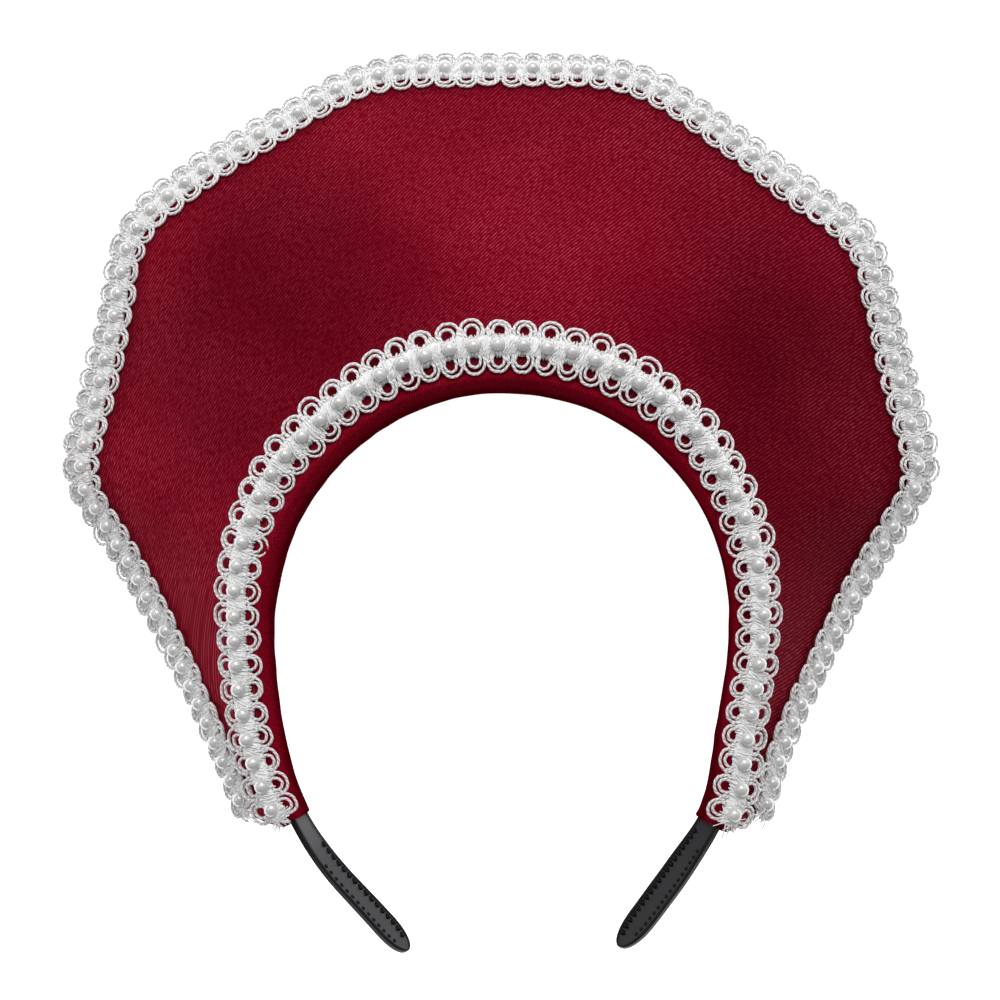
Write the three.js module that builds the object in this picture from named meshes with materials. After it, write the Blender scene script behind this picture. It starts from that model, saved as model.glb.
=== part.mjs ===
// A crown headband: a flared satin crown on a plastic headband, trimmed with two rows of pearl braid.
// Millimetres and degrees. The crown lies on its back: +X to the right, +Y to its top, +Z to its front.
// Until the last step the middle of the head opening is the centre and the front of the crown is at Z = 0.
import * as THREE from 'three';
import { mergeVertices } from 'three/addons/utils/BufferGeometryUtils.js';

// Headband: an arch over the head, then two bends towards its straight tips.
const archRadius = 63.7;
const cheekTurnAngle = 16;
const cheekRadius = 150;
const tipTurnAngle = 25;
const tipRadius = 75;
const tipStraight = 21;
const bandWidth = 7.5;
const bandThickness = 1.6;

// Satin cover round the headband, hollow, open at both ends.
const coverWall = 1;
const coverRoom = 0.25;
const coverReach = 154;
const coverChamfer = 1.3;
const coverSink = 0.3;
const coverSegments = 29;
const tipSegments = 5;

// Crown: a board covered in satin, flared back from the headband.
const crownHalfWidth = 118;
const crownRise = 152.8;
const crownDrop = 51.5;
const flareDepth = 56;
const boardThickness = 3;
const cornerRound = 16;
const sideBow = 1.2;
const seamGap = 0.3;
const seamSink = 1.3;

// Pearl braid, the same for both trims.
const braidHalfWidth = 7.75;
const braidThickness = 1.1;
const braidGap = 0.3;
const pearlRadius = 2.05;
const pearlRise = 2.3;
const pearlSides = 10;
const archSetback = 4.6;
const archPearlCount = 51;
const edgePearlCount = 96;
const braidEnd = 0.6;

// How far the headband leans, front edge outwards, by its share of the way from the top to a tip.
const leanRows = [
  { place: 0, lean: 14 },
  { place: 0.45, lean: 10 },
  { place: 0.79, lean: 27 },
  { place: 0.87, lean: 44 },
  { place: 1, lean: 50 },
];

// The crown's corners on one side, from the middle of its top edge to its lower end. width, rise and drop
// are shares of crownHalfWidth, crownRise and crownDrop, depth of flareDepth, round of cornerRound, bow of
// sideBow on the side that leads here, reach of coverReach, for the spot on the headband that it faces, sink
// of seamSink and setback of archSetback. belly is the share of the depth that comes late. drape bends the
// arch braid's near side down over the cover, and flare bends the edge braid's far side up, in degrees.
const crownRows = [
  { width: 0, rise: 1, drop: 0, depth: 0.93, round: 0, bow: 0, reach: 0, sink: 0,
    belly: 0.6, setback: 1, drape: 13, flare: 4 },
  { width: 0.325, rise: 0.998, drop: 0, depth: 0.95, round: 1, bow: 0, reach: 0.11, sink: 0,
    belly: 0.56, setback: 1, drape: 16, flare: 4 },
  { width: 0.875, rise: 0.71, drop: 0, depth: 1, round: 0.65, bow: 0.5, reach: 0.33, sink: 0,
    belly: 0.3, setback: 0.75, drape: 30, flare: 12 },
  { width: 1.012, rise: 0.258, drop: 0, depth: 1, round: 0.5, bow: -0.6, reach: 0.53, sink: 0.1,
    belly: -0.05, setback: 0.47, drape: 44, flare: 20 },
  { width: 0.57, rise: 0, drop: 1, depth: 0.232, round: 0, bow: -1.8, reach: 0.99, sink: 1,
    belly: 0.25, setback: 0, drape: 50, flare: 6 },
];

// Rows of points across the crown, as shares of the way from the headband to the outer edge.
const crownBands = [0, 0.18, 0.45, 0.75, 1];
const cornerSteps = [-1, -0.4, 0.4, 1];
const sideSteps = [2, 3, 3, 7];

// One repeat of the braid on its near side: a loop's outline and the gap in it, as shares of the pitch along
// the braid and of half its width across it.
const loopOutline = [
  { along: 0, across: -0.56 },
  { along: 0.25, across: -1 },
  { along: 0.75, across: -1 },
  { along: 1, across: -0.56 },
];
const loopGap = [
  { along: 0.3, across: -0.5 },
  { along: 0.5, across: -0.84 },
  { along: 0.7, across: -0.5 },
];
// A pearl's upper ring, as shares of its radius and of its rise.
const pearlShoulder = { radius: 0.72, rise: 0.66 };

const front = new THREE.Vector3(0, 0, 1);
const coverDepth = bandWidth + 2 * (coverRoom + coverWall);
const coverThickness = bandThickness + 2 * (coverRoom + coverWall);
const { degToRad, lerp, clamp } = THREE.MathUtils;

// The headband's middle line on one side, as arcs and a straight in the plane of the arch.
const bandPath = new THREE.Path();
bandPath.absarc(0, 0, archRadius, Math.PI / 2, 0, true);
addBend(bandPath, 0, cheekTurnAngle, cheekRadius);
addBend(bandPath, cheekTurnAngle, tipTurnAngle, tipRadius);
addStraight(bandPath, cheekTurnAngle + tipTurnAngle, tipStraight);
const bandReach = bandPath.getLength();

// The crown's outer edge on one side, in the same plane.
const edgePath = crownOutline();
const edgeLengths = edgePath.getCurveLengths();
const edgeReach = edgeLengths.at(-1);
const cornerPlaces = crownRows.map((row, index) => placeOfCorner(index));

// Adds an arc that turns inwards by the given angle, from a heading that is measured from straight down.
function addBend(path, heading, turn, radius) {
  const start = path.currentPoint;
  const centre = new THREE.Vector2(
    start.x - radius * Math.cos(degToRad(heading)),
    start.y + radius * Math.sin(degToRad(heading)),
  );
  path.absarc(centre.x, centre.y, radius, -degToRad(heading), -degToRad(heading + turn), true);
}

function addStraight(path, heading, length) {
  const start = path.currentPoint;
  path.lineTo(
    start.x - length * Math.sin(degToRad(heading)),
    start.y - length * Math.cos(degToRad(heading)),
  );
}

// Runs from corner to corner with bowed sides and rounded corners.
function crownOutline() {
  const corners = crownRows.map((row) => new THREE.Vector2(
    row.width * crownHalfWidth,
    row.rise * crownRise - row.drop * crownDrop,
  ));
  const path = new THREE.Path();
  path.moveTo(corners[0].x, corners[0].y);
  for (let index = 1; index < corners.length; index += 1) {
    const way = corners[index].clone().sub(corners[index - 1]).normalize();
    const sideEnd = corners[index].clone().addScaledVector(way, -crownRows[index].round * cornerRound);
    const outwards = new THREE.Vector2(-way.y, way.x);
    const middle = path.currentPoint.clone().lerp(sideEnd, 0.5);
    middle.addScaledVector(outwards, 2 * crownRows[index].bow * sideBow);
    path.quadraticCurveTo(middle.x, middle.y, sideEnd.x, sideEnd.y);
    if (index < corners.length - 1) {
      const nextWay = corners[index + 1].clone().sub(corners[index]).normalize();
      const turnEnd = corners[index].clone().addScaledVector(nextWay, crownRows[index].round * cornerRound);
      path.quadraticCurveTo(corners[index].x, corners[index].y, turnEnd.x, turnEnd.y);
    }
  }
  return path;
}

// A corner's share of the way along the edge: the path is a side, a corner, a side and so on.
function placeOfCorner(index) {
  if (index === 0) {
    return 0;
  }
  const before = edgeLengths[2 * index - 2];
  const after = edgeLengths[2 * index - 1] ?? before;
  return (before + after) / 2 / edgeReach;
}

// A smooth value between the rows of a table that never swings past them. Both sides of the crown are alike.
function smoothValue(places, values, place) {
  const last = places.length - 1;
  const spot = clamp(Math.abs(place), 0, 1);
  let row = 0;
  while (row < last - 1 && spot > places[row + 1]) {
    row += 1;
  }
  const rate = (index) => (values[index + 1] - values[index]) / (places[index + 1] - places[index]);
  const slope = (index) => {
    if (index === 0) {
      return 0;
    }
    if (index === last) {
      return rate(last - 1);
    }
    const product = rate(index - 1) * rate(index);
    return product > 0 ? (2 * product) / (rate(index - 1) + rate(index)) : 0;
  };
  const span = places[row + 1] - places[row];
  const t = (spot - places[row]) / span;
  const bend = (1 - t) * slope(row) * span;
  const bendAfter = t * slope(row + 1) * span;
  return lerp(values[row], values[row + 1], t * t * (3 - 2 * t)) + t * (1 - t) * (bend - bendAfter);
}

function leanAt(share) {
  return smoothValue(leanRows.map((row) => row.place), leanRows.map((row) => row.lean), share);
}

function crownValue(column, place) {
  return smoothValue(cornerPlaces, crownRows.map((row) => row[column]), place);
}

// The headband at a signed distance from its top, to the right if positive: its middle, the way along it,
// the way across its face towards the front edge, and the way out of its outer face.
function bandFrame(distance) {
  const side = Math.sign(distance) || 1;
  const share = Math.min(Math.abs(distance) / bandReach, 1);
  const spot = bandPath.getPoint(share);
  const way = bandPath.getTangent(share);
  const along = new THREE.Vector3(way.x, side * way.y, 0);
  const outwards = new THREE.Vector3().crossVectors(front, along);
  const lean = degToRad(leanAt(share));
  const widthWay = front.clone().multiplyScalar(Math.cos(lean)).addScaledVector(outwards, Math.sin(lean));
  const outerWay = outwards.clone().multiplyScalar(Math.cos(lean)).addScaledVector(front, -Math.sin(lean));
  const middle = new THREE.Vector3(side * spot.x, spot.y, -coverSink - (coverDepth / 2) * Math.cos(lean));
  return { middle, along, widthWay, outerWay };
}

function bandPoint(frame, outwards, frontwards) {
  return frame.middle.clone()
    .addScaledVector(frame.outerWay, outwards)
    .addScaledVector(frame.widthWay, frontwards);
}

// Where the crown's front meets the headband's cover, and the way that the seam runs back.
function crownRoot(place) {
  const frame = bandFrame(Math.sign(place) * crownValue('reach', place) * coverReach);
  const root = bandPoint(frame, coverThickness / 2 + seamGap, 0);
  const sink = crownValue('sink', place) * seamSink;
  root.addScaledVector(frame.widthWay, -(root.z + sink) / frame.widthWay.z);
  return { root, back: frame.widthWay.negate() };
}

function crownEdge(place) {
  const spot = edgePath.getPoint(Math.min(Math.abs(place), 1));
  return new THREE.Vector3(Math.sign(place) * spot.x, spot.y, -crownValue('depth', place) * flareDepth);
}

// A point of the crown's front, by its place along the edge and its share of the way out to it.
function crownPoint(place, out) {
  const { root } = crownRoot(place);
  const edge = crownEdge(place);
  const belly = crownValue('belly', place);
  const fall = (1 - belly) * out + belly * out * out;
  return new THREE.Vector3(lerp(root.x, edge.x, out), lerp(root.y, edge.y, out), lerp(root.z, edge.z, fall));
}

// The crown's front at a point: the way along it, to the right, the way out and the way out of its face.
function crownFrame(place, out) {
  const step = 0.002;
  const before = crownPoint(clamp(place - step, -1, 1), out);
  const after = crownPoint(clamp(place + step, -1, 1), out);
  const nearer = crownPoint(place, clamp(out - step, 0, 1));
  const further = crownPoint(place, clamp(out + step, 0, 1));
  const along = after.sub(before).normalize();
  const normal = new THREE.Vector3().crossVectors(along, further.sub(nearer)).normalize();
  return { along, normal, across: new THREE.Vector3().crossVectors(normal, along) };
}

// A closed mesh from triangles, turned so that its faces point out.
function closedMesh(name, material, triangles) {
  const volume = triangles.reduce((sum, [a, b, c]) => sum + a.dot(b.clone().cross(c)), 0);
  const facing = volume < 0 ? triangles.map((triangle) => triangle.toReversed()) : triangles;
  const geometry = mergeVertices(new THREE.BufferGeometry().setFromPoints(facing.flat()));
  geometry.computeVertexNormals();
  const mesh = new THREE.Mesh(geometry, material);
  mesh.name = name;
  return mesh;
}

// The sides of a loft through rings of as many points each. Its two halves are split into triangles alike.
function loftSides(rings) {
  const triangles = [];
  for (let ring = 0; ring < rings.length - 1; ring += 1) {
    const inFirstHalf = ring < (rings.length - 1) / 2;
    const near = inFirstHalf ? rings[ring + 1] : rings[ring];
    const far = inFirstHalf ? rings[ring] : rings[ring + 1];
    near.forEach((corner, index) => {
      const next = (index + 1) % near.length;
      const pieces = [[corner, near[next], far[next]], [corner, far[next], far[index]]];
      triangles.push(...(inFirstHalf ? turned(pieces) : pieces));
    });
  }
  return triangles;
}

// Closes a ring whose first half faces its second half, as the front of a board faces its back.
function ringCap(ring) {
  const triangles = [];
  for (let index = 0; index < ring.length / 2 - 1; index += 1) {
    const facing = ring.length - 1 - index;
    triangles.push([ring[index], ring[facing], ring[index + 1]]);
    triangles.push([ring[index + 1], ring[facing], ring[facing - 1]]);
  }
  return triangles;
}

function turned(triangles) {
  return triangles.map((triangle) => triangle.toReversed());
}

// Places along the crown, closer together where its edge turns.
function crownPlaces() {
  const places = [0];
  for (let index = 1; index < crownRows.length; index += 1) {
    const round = crownRows[index].round * cornerRound / edgeReach;
    const sideStart = places.at(-1);
    const sideEnd = cornerPlaces[index] - round;
    for (let step = 1; step < sideSteps[index - 1]; step += 1) {
      places.push(lerp(sideStart, sideEnd, step / sideSteps[index - 1]));
    }
    places.push(...(round > 0 ? cornerSteps.map((step) => cornerPlaces[index] + step * round) : [1]));
  }
  return [...places.slice(1).reverse().map((place) => -place), ...places];
}

function crownPanel(material) {
  const rings = crownPlaces().map((place) => {
    const frontRow = crownBands.map((out) => crownPoint(place, out));
    const backRow = crownBands.map((out, index) => {
      const way = index === 0 ? crownRoot(place).back : crownFrame(place, out).normal.negate();
      return frontRow[index].clone().addScaledVector(way, boardThickness);
    });
    return [...frontRow, ...backRow.reverse()];
  });
  const triangles = [...loftSides(rings), ...ringCap(rings[0]), ...turned(ringCap(rings.at(-1)))];
  return closedMesh('crown_panel', material, triangles);
}

// A rectangle's corners round the headband, chamfered if a chamfer is given.
function bandSection(frame, thickness, width, chamfer) {
  const corners = [[1, 1], [1, -1], [-1, -1], [-1, 1]];
  return corners.flatMap(([outwards, frontwards]) => {
    if (chamfer === 0) {
      return [bandPoint(frame, outwards * thickness / 2, frontwards * width / 2)];
    }
    const onEdge = bandPoint(frame, outwards * (thickness / 2 - chamfer), frontwards * width / 2);
    const onFace = bandPoint(frame, outwards * thickness / 2, frontwards * (width / 2 - chamfer));
    return outwards === frontwards ? [onEdge, onFace] : [onFace, onEdge];
  });
}

function coverDistances() {
  const distances = [];
  for (let step = 0; step <= coverSegments; step += 1) {
    distances.push(lerp(-coverReach, coverReach, step / coverSegments));
  }
  return distances;
}

function bandCover(material) {
  const frames = coverDistances().map(bandFrame);
  const outer = frames.map((frame) => bandSection(frame, coverThickness, coverDepth, coverChamfer));
  const hollowThickness = bandThickness + 2 * coverRoom;
  const inner = frames.map((frame) => bandSection(frame, hollowThickness, bandWidth + 2 * coverRoom, 0));
  const triangles = [...loftSides(outer), ...turned(loftSides(inner))];
  const rim = (ring, hole) => ring.flatMap((corner, index) => {
    const next = (index + 1) % ring.length;
    const holeCorner = hole[Math.floor(index / 2)];
    const holeNext = hole[Math.floor(next / 2)];
    const outerPiece = [corner, holeCorner, ring[next]];
    return holeCorner === holeNext ? [outerPiece] : [outerPiece, [ring[next], holeCorner, holeNext]];
  });
  triangles.push(...rim(outer[0], inner[0]), ...turned(rim(outer.at(-1), inner.at(-1))));
  return closedMesh('band_cover', material, triangles);
}

// The headband runs through its cover, and its tips narrow to round ends.
function headband(material) {
  const tips = [];
  for (let step = 1; step <= tipSegments; step += 1) {
    const share = Math.sin((step / tipSegments) * (Math.PI / 2));
    tips.push(lerp(coverReach, bandReach, share));
  }
  const distances = [...tips.toReversed().map((distance) => -distance), ...coverDistances(), ...tips];
  const rings = distances.map((distance) => {
    const left = bandReach - Math.abs(distance);
    const inRound = clamp(1 - left / (bandWidth / 2), 0, 0.95);
    const width = bandWidth * Math.sqrt(1 - inRound * inRound);
    return bandSection(bandFrame(distance), bandThickness, width, 0);
  });
  const triangles = [...loftSides(rings), ...ringCap(rings[0]), ...turned(ringCap(rings.at(-1)))];
  return closedMesh('headband', material, triangles);
}

// The line of pearls of a braid, which its frames follow.
class BraidLine extends THREE.Curve {
  constructor(frameAt) {
    super();
    this.frameAt = frameAt;
    this.arcLengthDivisions = 400;
  }

  getPoint(t, target = new THREE.Vector3()) {
    return target.copy(this.frameAt(t).base);
  }
}

// The edge braid's near side lies on the crown's front, and its far side reaches out past the edge.
function edgeBraidFrame(t) {
  const place = lerp(-1, 1, t);
  const { along, normal, across } = crownFrame(place, 1);
  const flare = degToRad(crownValue('flare', place));
  const farWay = across.clone().applyAxisAngle(along, flare);
  const lift = normal.clone().applyAxisAngle(along, flare / 2);
  const base = crownPoint(place, 1).addScaledVector(lift, braidGap);
  return { base, nearWay: across.negate(), farWay, lift };
}

// The arch braid bridges the seam: its near side drapes over the cover and its far side dips to the crown.
function archBraidFrame(t) {
  const place = lerp(-1, 1, t) * (1 - braidEnd / edgeReach);
  const setback = crownValue('setback', place) * archSetback;
  const { root } = crownRoot(place);
  const fullSpan = crownPoint(place, 0.1).distanceTo(root) * 10;
  const out = setback / fullSpan;
  const { along, normal, across } = crownFrame(place, out);
  const drape = degToRad(crownValue('drape', place));
  const bridge = setback * Math.sin(drape);
  const dip = Math.asin(Math.min(bridge / braidHalfWidth, 1));
  const nearWay = across.clone().negate().applyAxisAngle(along, drape);
  const farWay = across.clone().applyAxisAngle(along, -dip);
  const lift = normal.clone().applyAxisAngle(along, (drape - dip) / 2);
  const sink = crownValue('sink', place) * seamSink;
  const seat = (braidGap + sink + bridge) / Math.cos((drape + dip) / 2);
  return { base: crownPoint(place, out).addScaledVector(lift, seat), nearWay, farWay, lift };
}

// A braid with its pearls in one body. pierced opens its loops.
function braid(name, material, frameAt, pearls, pierced) {
  const line = new BraidLine(frameAt);
  const pitch = line.getLength() / pearls;
  const frames = new Map();
  const framed = (share) => {
    if (!frames.has(share)) {
      frames.set(share, frameAt(line.getUtoTmapping(share)));
    }
    return frames.get(share);
  };
  const vertex = (repeat, spot, height) => {
    const frame = framed((repeat + spot.x) / pearls);
    const way = spot.y < 0 ? frame.nearWay : frame.farWay;
    return frame.base.clone()
      .addScaledVector(way, Math.abs(spot.y) * braidHalfWidth)
      .addScaledVector(frame.lift, height);
  };

  // One half of a repeat, seen from above, and the other half by turning it round the pearl.
  const spot = ({ along, across }) => new THREE.Vector2(along, across);
  const pearlSpot = new THREE.Vector2(0.5, 0);
  const ringSpot = (angle, share) => new THREE.Vector2(
    0.5 + (share * pearlRadius * Math.cos(angle)) / pitch,
    (share * pearlRadius * Math.sin(angle)) / braidHalfWidth,
  );
  const sides = Array.from({ length: pearlSides }, (_, side) => side);
  const ring = sides.map((side) => ringSpot((side / pearlSides) * 2 * Math.PI, 1));
  ring[0].y = 0;
  ring[pearlSides / 2].y = 0;
  const outline = loopOutline.map(spot);
  const ends = [new THREE.Vector2(1, 0), new THREE.Vector2(0, 0)];
  const nearRing = [ring[0], ...ring.slice(pearlSides / 2).reverse()];
  const gaps = pierced ? [loopGap.map(spot)] : [];
  const halves = [(point) => point, (point) => point.clone().rotateAround(pearlSpot, Math.PI)];

  const flatTriangles = (contour) => THREE.ShapeUtils.triangulateShape(contour, gaps).map((corners) => {
    const points = corners.map((corner) => [...contour, ...gaps.flat()][corner]);
    const [a, b, c] = points;
    return b.clone().sub(a).cross(c.clone().sub(a)) > 0 ? points : points.toReversed();
  });
  const topPieces = flatTriangles([...outline, ends[0], ...nearRing, ends[1]]);
  const underPieces = flatTriangles([...outline, ...ends]);
  const walls = outline.slice(1).map((point, index) => [outline[index], point]);
  gaps.forEach((gap) => gap.forEach((point, index) => walls.push([gap[(index + 1) % gap.length], point])));

  const triangles = [];
  for (let repeat = 0; repeat < pearls; repeat += 1) {
    halves.forEach((turnedRound) => {
      const raised = (point, height) => vertex(repeat, turnedRound(point), height);
      topPieces.forEach((points) => triangles.push(points.map((point) => raised(point, braidThickness))));
      underPieces.forEach((points) => triangles.push(points.map((point) => raised(point, 0)).reverse()));
      walls.forEach(([from, to]) => {
        const upperTo = raised(to, braidThickness);
        triangles.push([raised(from, 0), raised(to, 0), upperTo]);
        triangles.push([raised(from, 0), upperTo, raised(from, braidThickness)]);
      });
    });
    triangles.push(...pearlDome(repeat, ring, ringSpot, vertex));
  }
  [0, pearls].forEach((cut) => {
    const repeat = cut === 0 ? 0 : pearls - 1;
    const along = cut === 0 ? 0 : 1;
    const notch = loopOutline[0].across;
    const section = [notch, 0, -notch].map((y) => new THREE.Vector2(along, y));
    const upper = section.map((point) => vertex(repeat, point, braidThickness));
    const under = section.map((point) => vertex(repeat, point, 0));
    const cap = ringCap([...upper, ...under.reverse()]);
    triangles.push(...(cut === 0 ? turned(cap) : cap));
  });
  return closedMesh(name, material, triangles);
}

// A pearl's upper half on its ring in the braid's top, with half as many sides above its shoulder.
function pearlDome(repeat, ring, ringSpot, vertex) {
  const base = ring.map((point) => vertex(repeat, point, braidThickness));
  const shoulderSides = pearlSides / 2;
  const shoulder = Array.from({ length: shoulderSides }, (_, side) => vertex(
    repeat,
    ringSpot((side / shoulderSides) * 2 * Math.PI, pearlShoulder.radius),
    braidThickness + pearlRise * pearlShoulder.rise,
  ));
  const crest = vertex(repeat, ringSpot(0, 0), braidThickness + pearlRise);
  return shoulder.flatMap((upper, side) => {
    const nextUpper = shoulder[(side + 1) % shoulderSides];
    const [first, second, third] = [0, 1, 2].map((step) => base[(2 * side + step) % pearlSides]);
    return [
      [first, second, upper],
      [second, third, nextUpper],
      [second, nextUpper, upper],
      [upper, nextUpper, crest],
    ];
  });
}

const satin = new THREE.MeshStandardMaterial({ color: 0x7d0a22, roughness: 0.42, metalness: 0 });
const coverSatin = new THREE.MeshStandardMaterial({ color: 0x6e081d, roughness: 0.42, metalness: 0 });
const plastic = new THREE.MeshStandardMaterial({ color: 0x18181b, roughness: 0.3, metalness: 0 });
const whiteBraid = new THREE.MeshStandardMaterial({ color: 0xe9e8e6, roughness: 0.7, metalness: 0 });

const headpiece = new THREE.Group();
headpiece.add(
  headband(plastic),
  bandCover(coverSatin),
  crownPanel(satin),
  braid('arch_trim', whiteBraid, archBraidFrame, archPearlCount, true),
  braid('edge_trim', whiteBraid, edgeBraidFrame, edgePearlCount, false),
);

// The origin is under the middle of the headpiece, on the surface that it lies on.
const bounds = new THREE.Box3().setFromObject(headpiece);
const middle = bounds.getCenter(new THREE.Vector3());
headpiece.position.set(-middle.x, -middle.y, -bounds.min.z);

const crownHeadband = new THREE.Group();
crownHeadband.add(headpiece);

export default crownHeadband;
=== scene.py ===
import math

import bpy
import numpy as np
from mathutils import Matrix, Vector


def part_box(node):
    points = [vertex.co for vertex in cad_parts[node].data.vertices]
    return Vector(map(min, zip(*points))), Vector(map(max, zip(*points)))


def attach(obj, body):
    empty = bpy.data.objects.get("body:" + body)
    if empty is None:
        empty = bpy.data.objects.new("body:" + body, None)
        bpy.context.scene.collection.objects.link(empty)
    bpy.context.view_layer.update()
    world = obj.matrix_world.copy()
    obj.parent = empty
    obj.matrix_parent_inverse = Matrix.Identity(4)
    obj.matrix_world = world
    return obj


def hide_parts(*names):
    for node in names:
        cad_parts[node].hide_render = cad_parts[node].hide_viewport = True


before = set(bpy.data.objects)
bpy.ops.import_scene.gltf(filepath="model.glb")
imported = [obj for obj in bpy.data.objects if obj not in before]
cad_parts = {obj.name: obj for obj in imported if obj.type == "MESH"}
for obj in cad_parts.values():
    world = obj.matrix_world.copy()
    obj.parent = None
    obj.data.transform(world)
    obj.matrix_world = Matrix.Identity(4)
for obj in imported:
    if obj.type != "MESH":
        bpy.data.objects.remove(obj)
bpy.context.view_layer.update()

# Sizes in millimetres and angles in degrees, as in the part: the middle of the head opening is the centre,
# and the crown's front is at z = 0.
BAND = dict(
    archRadius=63.7, cheekTurn=16, cheekRadius=150, tipTurn=25, tipRadius=75, tipStraight=21,
    width=7.5, thickness=1.6, coverWall=1, coverRoom=0.25, coverReach=154, coverSink=0.3,
)
CROWN = dict(
    halfWidth=118, rise=152.8, drop=51.5, depth=56, thickness=3, cornerRound=16, sideBow=1.2,
    seamGap=0.3, seamSink=1.3,
)
BRAID = dict(
    halfWidth=7.75, flatHalf=7.6, gap=0.3, archSetback=4.6, endMargin=0.6, archBeads=51, edgeBeads=96,
    beadRadius=2.03, beadHeight=1.5, gimpHalf=3.1, gimpHeight=0.9, cord=0.43, cordTwist=1.45, foldRound=1.6,
    archFall=2,
)
COVER_DEPTH = BAND["width"] + 2 * (BAND["coverRoom"] + BAND["coverWall"])
COVER_THICKNESS = BAND["thickness"] + 2 * (BAND["coverRoom"] + BAND["coverWall"])

# The part's tables: the headband's lean, and the crown's corners from its top to its lower end.
LEAN = [(0, 14), (0.45, 10), (0.79, 27), (0.87, 44), (1, 50)]
CORNER_COLUMNS = (
    "width", "rise", "drop", "depth", "round", "bow", "reach", "sink", "belly", "setback", "drape", "flare",
)
CORNERS = [
    (0, 1, 0, 0.93, 0, 0, 0, 0, 0.6, 1, 13, 4),
    (0.325, 0.998, 0, 0.95, 1, 0, 0.11, 0, 0.56, 1, 16, 4),
    (0.875, 0.71, 0, 1, 0.65, 0.5, 0.33, 0, 0.3, 0.75, 30, 12),
    (1.012, 0.258, 0, 1, 0.5, -0.6, 0.53, 0.1, -0.05, 0.47, 44, 20),
    (0.57, 0, 1, 0.232, 0, -1.8, 0.99, 1, 0.25, 0, 50, 6),
]

# How this one hangs out of true: x and y of a spot, its shift, and how far round it the shift reaches.
SHIFTS = [
    (-86, 120, -1.3, 1.6, 30), (84, 118, -1.5, -1.9, 30), (30, 70, 0, 0.4, 26), (62, -26, -0.8, 0, 16),
    (72, -52, 1.4, -0.6, 14), (54, -50, 1.9, -1.4, 13), (-52, 62, 0.8, -1, 20),
]
# The lower ends sway to the right below the start, draw together and reach further down, the left one more.
TIP_SWAY = dict(start=-50, span=34, shift=3.5, pinch=0.5, stretch=1.1, leftStretch=1.1)
# How much more the cover leans than the part's band, then how much more the tips do, by the share of the way to a tip.
LEAN_SHARES = (0, 0.1, 0.2, 0.3, 0.42, 0.52, 0.62, 0.8, 1)
COVER_LEAN = dict(left=(9.5, 11, 12, 16, 18, 11, 5, 0, 0), right=(9.5, 8, 5, 1.5, 2, 2, -2, 5, 6))
TIP_SHARES = (0, 0.7, 0.8, 0.88, 1)
TIP_LEAN = dict(left=(0, 0, -1, -4, -4), right=(0, 9, 12, 9, 5))

VIEW = dict(x=0, y=31.66, distance=700, lens=95.5, sensor=36, nearest=0.05, furthest=20)


def unit(vectors):
    return vectors / np.linalg.norm(vectors, axis=-1, keepdims=True)


def smoothValue(places, values, place):
    places, values = np.asarray(places, float), np.asarray(values, float)
    spot = np.clip(np.abs(place), 0, 1)
    row = np.clip(np.searchsorted(places, spot, side="left") - 1, 0, len(places) - 2)
    rate = np.diff(values) / np.diff(places)
    slope = np.zeros(len(places))
    for index in range(1, len(places) - 1):
        product = rate[index - 1] * rate[index]
        if product > 0:
            slope[index] = 2 * product / (rate[index - 1] + rate[index])
    slope[-1] = rate[-1]
    span = places[row + 1] - places[row]
    t = (spot - places[row]) / span
    bend = ((1 - t) * slope[row] - t * slope[row + 1]) * span
    return values[row] + (values[row + 1] - values[row]) * t * t * (3 - 2 * t) + t * (1 - t) * bend


class Line:
    def __init__(self, points):
        self.points = points
        steps = np.linalg.norm(np.diff(points, axis=0), axis=1)
        self.lengths = np.concatenate([[0], np.cumsum(steps)])
        self.length = self.lengths[-1]

    def at(self, share):
        distance = np.clip(share, 0, 1) * self.length
        columns = [np.interp(distance, self.lengths, column) for column in self.points.T]
        return np.stack(columns, -1)

    def way(self, share):
        step = 1e-4
        return unit(self.at(np.clip(share + step, 0, 1)) - self.at(np.clip(share - step, 0, 1)))


def joined(pieces):
    return np.concatenate([pieces[0]] + [piece[1:] for piece in pieces[1:]])


def bandLine():
    turn = np.linspace(math.pi / 2, 0, 400)
    pieces = [np.stack([np.cos(turn), np.sin(turn)], -1) * BAND["archRadius"]]
    heading = 0
    for angle, radius in ((BAND["cheekTurn"], BAND["cheekRadius"]), (BAND["tipTurn"], BAND["tipRadius"])):
        start = math.radians(heading)
        centre = pieces[-1][-1] - radius * np.array([math.cos(start), -math.sin(start)])
        turn = -np.radians(np.linspace(heading, heading + angle, 200))
        pieces.append(centre + radius * np.stack([np.cos(turn), np.sin(turn)], -1))
        heading += angle
    start = pieces[-1][-1]
    way = np.array([-math.sin(math.radians(heading)), -math.cos(math.radians(heading))])
    pieces.append(np.stack([start, start + way * BAND["tipStraight"]]))
    return Line(joined(pieces))


def quadratic(start, middle, end):
    t = np.linspace(0, 1, 60)[:, None]
    return (1 - t) ** 2 * start + 2 * t * (1 - t) * middle + t * t * end


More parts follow.
